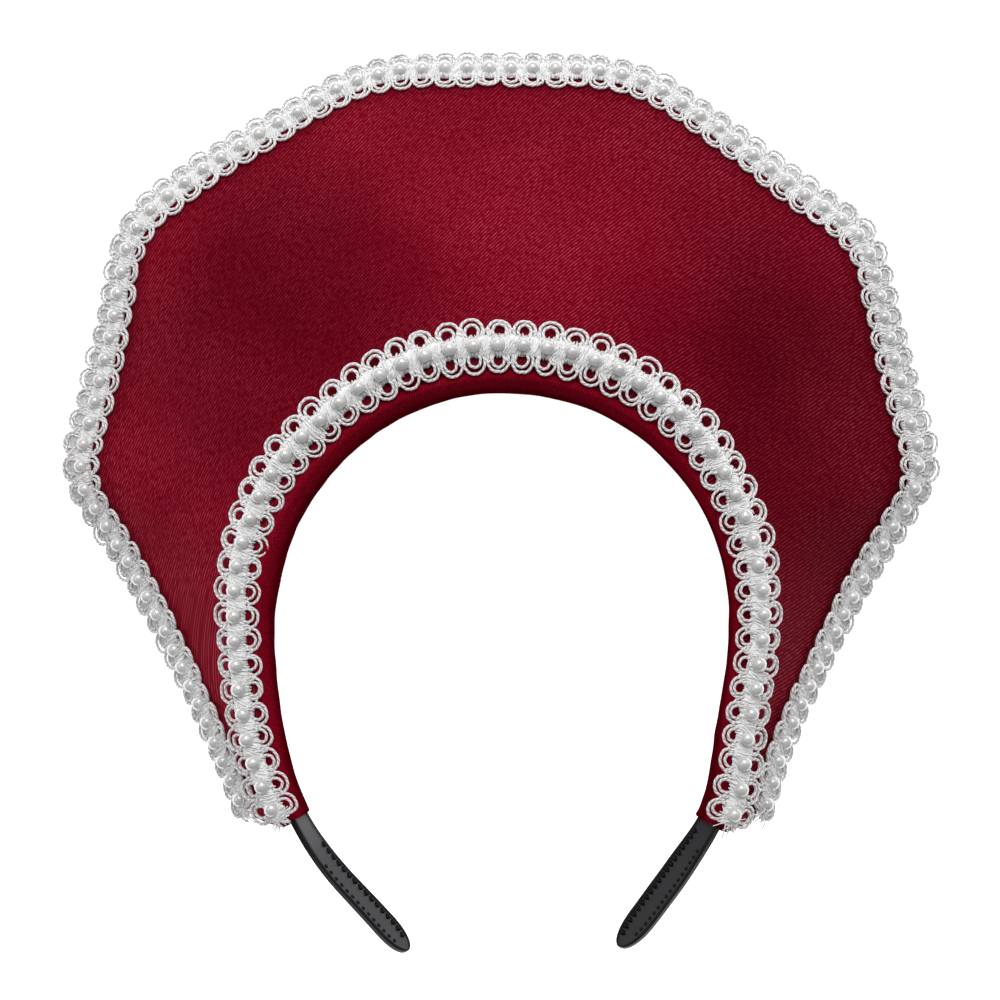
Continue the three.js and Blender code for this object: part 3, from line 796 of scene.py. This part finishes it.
# Half of each loop, along and across the flat braid, and how many points its line gets.
LOOPS = dict(
    outer=(26, [(-2.35, 2.3), (-2.72, 3.3), (-2.86, 4.6), (-2.35, 6.0), (-1.2, 6.95), (0, 7.15)]),
    inner=(20, [(-1.2, 2.3), (-1.62, 3.2), (-1.72, 4.2), (-1.3, 5.2), (-0.6, 5.72), (0, 5.85)]),
    knot=(10, [(-0.75, 2.6), (-0.85, 3.6), (-0.45, 4.5), (0, 4.72)]),
)


def loopPath(kind):
    steps, half = LOOPS[kind]
    points = np.array(half + [(-x, y) for x, y in half[-2::-1]], float)
    dense = Line(smoothed(points)).at(np.linspace(0, 1, steps))
    rise = 0.55 + 0.25 * np.sin(np.linspace(0, math.pi, steps))
    return np.column_stack([dense, rise])


def smoothed(points):
    ends = np.concatenate([[2 * points[0] - points[1]], points, [2 * points[-1] - points[-2]]])
    curve = []
    for index in range(1, len(ends) - 2):
        before, start, end, after = ends[index - 1:index + 3]
        t = np.linspace(0, 1, 8, endpoint=False)[:, None]
        curve.append(0.5 * (
            2 * start + (end - before) * t + (2 * before - 5 * start + 4 * end - after) * t**2
            + (3 * start - before - 3 * end + after) * t**3
        ))
    return np.concatenate(curve + [points[-1:]])


def threadPath():
    across = np.linspace(-3.0, 3.0, 9)
    rise = 0.22 + 1.28 * (1 - (np.abs(across) / 3.2) ** 3)
    return np.column_stack([across * 0.35, across, rise])


def guideObject(name, points):
    mesh = bpy.data.meshes.new(name)
    mesh.from_pydata(points.tolist(), [(index, index + 1) for index in range(len(points) - 1)], [])
    return placed(name, mesh)


def geometryTree(name, **kinds):
    tree = bpy.data.node_groups.new(name, "GeometryNodeTree")
    tree.interface.new_socket("Geometry", in_out="OUTPUT", socket_type="NodeSocketGeometry")
    sockets = {}
    for kind, keys in dict(kinds, Material="Material").items():
        for key in keys.split(", "):
            sockets[key] = tree.interface.new_socket(key, in_out="INPUT", socket_type="NodeSocket" + kind)
    nodes = Nodes(tree)
    return tree, sockets, nodes, nodes.add("NodeGroupInput").out


def closeTree(nodes, given, geometry):
    realized = nodes.add("GeometryNodeRealizeInstances", {"Geometry": geometry})
    finished = nodes.add("GeometryNodeSetMaterial", {"Geometry": realized, "Material": given("Material")})
    nodes.add("NodeGroupOutput", {"Geometry": finished})


def strandTree():
    tree, sockets, nodes, given = geometryTree(
        "braid_strands", Object="Guide", Int="Count, Sides, Seed",
        Float="Step, Start, Radius, Turn, Tilt Range, Size Range, Shift Range, Waver",
    )
    combine = lambda x, y, z: nodes.add("ShaderNodeCombineXYZ", {"X": x, "Y": y, "Z": z})
    guide = nodes.add("GeometryNodeObjectInfo", {"Object": given("Guide")}, output="Geometry")
    line = nodes.add("GeometryNodeMeshLine", {
        "Count": given("Count"), "Start Location": combine(given("Start"), 0.0, 0.0),
        "Offset": combine(given("Step"), 0.0, 0.0),
    })

    def spread(amount, offset):
        low = combine(amount * -1.0, amount * -1.0, amount * -0.35)
        high = combine(amount, amount, amount * 0.35)
        sockets = {"Min": low, "Max": high, "Seed": given("Seed") + float(offset)}
        return nodes.add("FunctionNodeRandomValue", sockets, data_type="FLOAT_VECTOR")

    def vector(operation, sockets):
        return nodes.add("ShaderNodeVectorMath", sockets, operation=operation)

    def tagged(geometry, name, output):
        value = nodes.add("GeometryNodeSplineParameter", output=output)
        sockets = {"Geometry": geometry, "Name": name, "Value": value}
        return nodes.add("GeometryNodeStoreNamedAttribute", sockets, data_type="FLOAT", domain="POINT")

    tilt = nodes.add("FunctionNodeRandomValue", {
        2: given("Tilt Range") * -1.0, 3: given("Tilt Range"), "Seed": given("Seed"),
    }, output=1, data_type="FLOAT")
    size = vector("ADD", {0: spread(given("Size Range"), 7), 1: (1.0, 1.0, 1.0)})
    moved = nodes.add("GeometryNodeSetPosition", {"Geometry": line, "Offset": spread(given("Shift Range"), 3)})
    copies = nodes.add("GeometryNodeInstanceOnPoints", {
        "Points": moved, "Instance": guide, "Rotation": combine(0.0, 0.0, given("Turn") + tilt), "Scale": size,
    })
    plain = nodes.add("GeometryNodeRealizeInstances", {"Geometry": copies})
    place = nodes.add("GeometryNodeInputPosition")
    wobble = nodes.add("ShaderNodeTexNoise", {"Vector": place, "Scale": 0.55, "Detail": 1.0}, output="Color")
    centred = vector("SUBTRACT", {0: wobble, 1: (0.5, 0.5, 0.5)})
    scaled = vector("SCALE", {0: centred, "Scale": given("Waver")})
    waved = nodes.add("GeometryNodeSetPosition", {"Geometry": plain, "Offset": scaled})
    curves = tagged(nodes.add("GeometryNodeMeshToCurve", {"Mesh": waved}), "cord_along", "Length")
    circle = nodes.add("GeometryNodeCurvePrimitiveCircle", {"Resolution": given("Sides"), "Radius": given("Radius")})
    profile = tagged(circle, "cord_around", "Factor")
    tube = nodes.add("GeometryNodeCurveToMesh", {"Curve": curves, "Profile Curve": profile, "Fill Caps": True})
    closeTree(nodes, given, tube)
    return tree, sockets


def beadTree():
    tree, sockets, nodes, given = geometryTree(
        "braid_beads", Object="Centres", Int="Segments, Rings, Seed", Float="Radius, Size Range",
    )
    centres = nodes.add("GeometryNodeObjectInfo", {"Object": given("Centres")}, output="Geometry")
    ball = nodes.add("GeometryNodeMeshUVSphere", {key: given(key) for key in ("Segments", "Rings", "Radius")})
    smooth = nodes.add("GeometryNodeSetShadeSmooth", {"Geometry": ball})
    size = nodes.add("FunctionNodeRandomValue", {
        2: given("Size Range") * -1.0 + 1.0, 3: given("Size Range") + 1.0, "Seed": given("Seed"),
    }, output=1, data_type="FLOAT")
    copies = nodes.add("GeometryNodeInstanceOnPoints", {"Points": centres, "Instance": smooth, "Scale": size})
    closeTree(nodes, given, copies)
    return tree, sockets


def grown(name, tree, sockets, values):
    holder = placed(name, bpy.data.meshes.new(name))
    modifier = holder.modifiers.new("nodes", "NODES")
    modifier.node_group = tree
    for key, value in values.items():
        modifier[sockets[key].identifier] = value
    bpy.context.view_layer.update()
    graph = bpy.context.evaluated_depsgraph_get()
    mesh = bpy.data.meshes.new_from_object(holder.evaluated_get(graph), preserve_all_data_layers=True, depsgraph=graph)
    holder.modifiers.clear()
    bpy.data.objects.remove(holder)
    return mesh


def meshPoints(mesh):
    points = np.empty(len(mesh.vertices) * 3)
    mesh.vertices.foreach_get("co", points)
    return points.reshape(-1, 3)


class BraidTrack:
    def __init__(self, frameAt, repeats):
        t = np.linspace(0, 1, 2600)
        sample = frameAt(t)
        steps = np.linalg.norm(np.diff(sample["base"], axis=0), axis=1)
        lengths = np.concatenate([[0], np.cumsum(steps)])
        self.length = lengths[-1]
        self.repeats = repeats
        self.pitch = self.length / repeats
        self.shares = lengths / self.length
        self.columns = dict(sample)
        front = np.array([0, 0, 1.0])
        for side in ("near", "far"):
            normal = unit(np.cross(sample["along"], sample[side]))
            facing = np.sign(normal @ front)[:, None]
            self.columns[side + "Normal"] = normal * facing

    def column(self, key, share):
        values = self.columns[key]
        return np.stack([np.interp(share, self.shares, values[:, axis]) for axis in range(3)], -1)

    def laid(self, points):
        share = np.clip(points[:, 0] / self.length, 0, 1)
        past = points[:, 0] - share * self.length
        across = points[:, 1] * BRAID["halfWidth"] / BRAID["flatHalf"]
        bent = np.sqrt(across**2 + BRAID["foldRound"]**2)
        nearReach, farReach = (bent - across) / 2, (bent + across) / 2
        farShare = (0.5 + 0.5 * across / bent)[:, None]
        lift = unit(self.column("nearNormal", share) * (1 - farShare) + self.column("farNormal", share) * farShare)
        near, far = self.column("near", share), self.column("far", share)
        crease = (near + far) * (BRAID["foldRound"] / 2) * 0.5
        base = self.column("base", share) + self.column("along", share) * past[:, None] - crease
        return base + near * nearReach[:, None] + far * farReach[:, None] + lift * points[:, 2:3]


STRAND_COLUMNS = ("Radius", "Sides", "Tilt Range", "Size Range", "Shift Range", "Waver")
STRANDS = dict(
    loops=(BRAID["cord"], 7, 0.07, 0.055, 0.16, 0.45), knots=(BRAID["cord"] * 0.95, 6, 0.2, 0.1, 0.15, 0.5),
    frays=(0.14, 4, 1.3, 0.3, 1.5, 1.1), threads=(0.19, 4, 0.5, 0.06, 0.3, 0.9),
)
THREADS = dict(perRepeat=15, first=0.2, frays=30, frayStep=0.05, firstFray=0.4, lastFray=2.6)


def makeBraid(name, frameAt, repeats, seed, materials, film=None):
    track = BraidTrack(frameAt, repeats)
    cord, gimp, bead = materials
    tree, sockets = strandTree()
    guides = {kind: guideObject(kind + "_guide", loopPath(kind)) for kind in LOOPS}
    guides["thread"] = guideObject("thread_guide", threadPath())
    pitch = track.pitch
    threads = repeats * THREADS["perRepeat"]
    plans = []
    for turn in (0, math.pi):
        plans += [(kind, "loops", repeats, pitch, pitch / 2, turn) for kind in ("outer", "inner")]
        plans.append(("knot", "knots", repeats - 1, pitch, pitch, turn))
    for turn in (0, math.pi):
        start = THREADS["first"] + turn * 0.1
        plans.append(("thread", "threads", threads // 2, track.length * 2 / threads, start, turn))
    for start in (THREADS["firstFray"], track.length - THREADS["lastFray"]):
        plans.append(("thread", "frays", THREADS["frays"], THREADS["frayStep"], start, math.pi / 2))
    strands = {"loops": [], "threads": []}
    for index, (kind, style, count, step, start, turn) in enumerate(plans):
        mesh = grown(name + "_" + kind, tree, sockets, {
            **dict(zip(STRAND_COLUMNS, STRANDS[style])), "Guide": guides[kind], "Count": count,
            "Step": float(step), "Start": float(start), "Turn": float(turn), "Seed": seed * 31 + index,
            "Material": gimp if kind == "thread" else cord,
        })
        strands["threads" if kind == "thread" else "loops"].append(mesh)
    for guide in guides.values():
        bpy.data.objects.remove(guide)
    pieces = {}
    for part, meshes in strands.items():
        pieces[part] = joinedStrands(name + "_" + part, meshes, track, gimp if part == "threads" else cord)
    pieces["gimp"] = makeGimp(name + "_gimp", track, gimp, seed)
    pieces["beads"] = makeBeads(name + "_beads", track, bead, seed)
    if film:
        pieces["film"] = makeFilm(name + "_film", track, film, seed)
    print(name, "pitch", round(track.pitch, 3), {key: len(piece.data.polygons) for key, piece in pieces.items()})
    return pieces


def joinedStrands(name, meshes, track, material):
    points, faces, cordTrack = [], [], []
    start = 0
    for mesh in meshes:
        flat = meshPoints(mesh)
        points.append(flat)
        columns = []
        for key in ("cord_along", "cord_around"):
            values = np.zeros(len(flat))
            mesh.attributes[key].data.foreach_get("value", values)
            columns.append(values)
        cordTrack.append(np.column_stack(columns + [np.zeros(len(flat))]))
        faces += [tuple(start + index for index in polygon.vertices) for polygon in mesh.polygons]
        start += len(flat)
        bpy.data.meshes.remove(mesh)
    points = track.laid(np.concatenate(points))
    return makeMesh(name, inRow(points), faces, material, {"cord": np.concatenate(cordTrack)})


GIMP = dict(
    perRepeat=12, across=15, ragged=0.22, swell=0.06, edge=0.3, bulge=0.16, fluff=0.07, underShare=0.9, underHeight=0.1,
)


def makeGimp(name, track, material, seed):
    look = GIMP
    rng = np.random.default_rng(seed)
    x = np.linspace(0, track.length, track.repeats * look["perRepeat"] + 1)
    y = np.linspace(-1, 1, look["across"])
    xs, ys = grid(x, y)
    fluff = rng.normal(size=(len(x), len(y))).ravel()
    phase = np.cos(2 * math.pi * xs / track.pitch)
    edges = softNoise(np.column_stack([xs, ys, ys]), 2.4, seed)
    half = BRAID["gimpHalf"] * (1 + look["swell"] * phase) + look["ragged"] * edges
    height = BRAID["gimpHeight"] * (1 - np.abs(ys) ** 3) + look["edge"] + look["bulge"] * phase + look["fluff"] * fluff
    top = np.column_stack([xs, ys * half, height]).reshape(len(x), len(y), 3)
    underHalf = BRAID["gimpHalf"] * look["underShare"]
    under = np.stack([np.stack([x, side * underHalf + 0 * x, look["underHeight"] + 0 * x], -1) for side in (1, -1)], 1)
    rings = np.concatenate([top, under], axis=1)
    faces = [face[::-1] for face in loftFaces(len(x), rings.shape[1])]
    points = track.laid(rings.reshape(-1, 3))
    return makeMesh(name, inRow(points), faces, material)


# A grey sheet that fills the edge braid's outer loops, standing in for their shade: painted shade.
FILM = dict(
    perRepeat=14, across=9, start=2.6, least=4.7, most=6.75, ragged=0.2, rise=0.42, curl=0.25, grain=0.06,
    thickness=0.3,
)


def makeFilm(name, track, material, seed):
    rng = np.random.default_rng(seed + 90)
    x = np.linspace(0, track.length, track.repeats * FILM["perRepeat"] + 1)
    share = np.linspace(0, 1, FILM["across"])
    wave = np.abs(np.cos(math.pi * (x / track.pitch - 0.5)))
    reach = FILM["least"] + (FILM["most"] - FILM["least"]) * wave
    reach = reach + rng.uniform(-FILM["ragged"], FILM["ragged"], len(x))
    ys = FILM["start"] + (reach[:, None] - FILM["start"]) * share
    rise = FILM["rise"] + FILM["curl"] * np.sin(math.pi * share)[None, :] + rng.normal(0, FILM["grain"], ys.shape)
    over = np.stack([np.repeat(x[:, None], len(share), 1), ys, rise], -1)
    under = over[:, ::-1] - np.array([0, 0, FILM["thickness"]])
    rings = np.concatenate([over, under], axis=1)
    points = track.laid(rings.reshape(-1, 3))
    return makeMesh(name, inRow(points), loftFaces(len(x), rings.shape[1]), material)


BEADS = dict(wander=0.16, sizeRange=0.03, segments=24, rings=14)


def makeBeads(name, track, material, seed):
    rng = np.random.default_rng(seed + 50)
    wander, count = BEADS["wander"], track.repeats
    along = (np.arange(count) + 0.5) * track.pitch + rng.uniform(-wander, wander, count)
    across = rng.normal(0, wander, count)
    centres = inRow(track.laid(np.column_stack([along, across, np.full(count, BRAID["beadHeight"])])))
    holder = guideObject("bead_centres", centres)
    tree, sockets = beadTree()
    mesh = grown(name, tree, sockets, {
        "Centres": holder, "Radius": BRAID["beadRadius"] / 1000, "Segments": BEADS["segments"],
        "Rings": BEADS["rings"], "Size Range": BEADS["sizeRange"], "Seed": seed, "Material": material,
    })
    bpy.data.objects.remove(holder)
    return placed(name, mesh)


# Build

satin = satinMaterial(
    "crown_satin", (0.28, 0.001, 0.016, 1), (0.58, 0.07, 0.12, 1), (0.098, 0.0002, 0.005, 1), gloss=0.1,
)
# The sleeve's satin is the crown's in darker colours with dimmer flecks: painted shade.
coverSatin = satinMaterial(
    "cover_satin", (0.25, 0.001, 0.012, 1), (0.42, 0.02, 0.05, 1), (0.08, 0.0001, 0.003, 1), gloss=0.0,
)
plastic = plasticMaterial()
braidMaterials = (cordMaterial(), flossMaterial("gimp_white"), beadMaterial())

crown = makeCrown(satin)
cover = makeCover(coverSatin)
band = makeBand(plastic)
grips = makeTeeth(gripMaterial())
print("satin and band made")
archBraid = makeBraid("arch_braid", archBraidFrame, BRAID["archBeads"], 2, braidMaterials)
edgeBraid = makeBraid("edge_braid", edgeBraidFrame, BRAID["edgeBeads"], 5, braidMaterials, flossMaterial("loop_shade_grey"))
print("braids made")

for piece, slot, node in (
    (crown, "satin", "crown_panel"), (cover, "satin", "band_cover"), (band, "plastic", "headband"),
    (grips, "plastic", None),
):
    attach(piece, "root")
    if node:
        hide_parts(node)
for pieces, node in ((archBraid, "arch_trim"), (edgeBraid, "edge_trim")):
    for key, piece in pieces.items():
        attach(piece, "root")
        if key == "gimp":
            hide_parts(node)


# Studio

def makeFloor():
    reach = 6.0
    corners = np.array([(-reach, -reach, 0), (reach, -reach, 0), (reach, reach, 0), (-reach, reach, 0)])
    surface = Surface(
        "floor_paper", Roughness=0.9, Emission_Color=grey(1), Emission_Strength=STUDIO["floorGlow"],
    )
    surface.give(Base_Color=surface.noise(40.0).mixed(grey(0.9), grey(0.94)))
    surface.material.cycles.emission_sampling = "NONE"
    floor = makeMesh("floor", corners, [(0, 1, 2, 3)], surface.material)


def makeLight(name, spot, size, power, aim=(0.0, 0.02, 0.04)):
    light = bpy.data.lights.new(name, "AREA")
    light.shape = "DISK"
    light.size = size
    light.energy = power
    lamp = placed(name, light)
    lamp.location = spot
    lamp.rotation_mode = "QUATERNION"
    lamp.rotation_quaternion = (Vector(aim) - Vector(spot)).to_track_quat("-Z", "Y")


STUDIO = dict(
    floorGlow=1.0, worldGlow=0.16,
    lights=[
        ("key", (0.0, 0.78, 1.05), 1.1, 13.0),
        ("fill", (-0.9, 0.1, 0.9), 0.8, 1.8),
        ("right", (0.9, 0.5, 0.8), 0.8, 1.8),
    ],
)

makeFloor()
for name, spot, size, power in STUDIO["lights"]:
    makeLight(name, spot, size, power)
world = bpy.data.worlds.new("studio")
world.use_nodes = True
backdrop = world.node_tree.nodes["Background"].inputs
backdrop["Color"].default_value = grey(1)
backdrop["Strength"].default_value = STUDIO["worldGlow"]
bpy.context.scene.world = world
bpy.context.scene.view_settings.view_transform = "Standard"

lens = bpy.data.cameras.new("camera")
lens.lens, lens.sensor_width = VIEW["lens"], VIEW["sensor"]
lens.clip_start, lens.clip_end = VIEW["nearest"], VIEW["furthest"]
camera = placed("camera", lens)
camera.location = ((np.array([VIEW["x"], VIEW["y"], VIEW["distance"]]) + SHIFT) / 1000).tolist()
bpy.context.scene.camera = camera
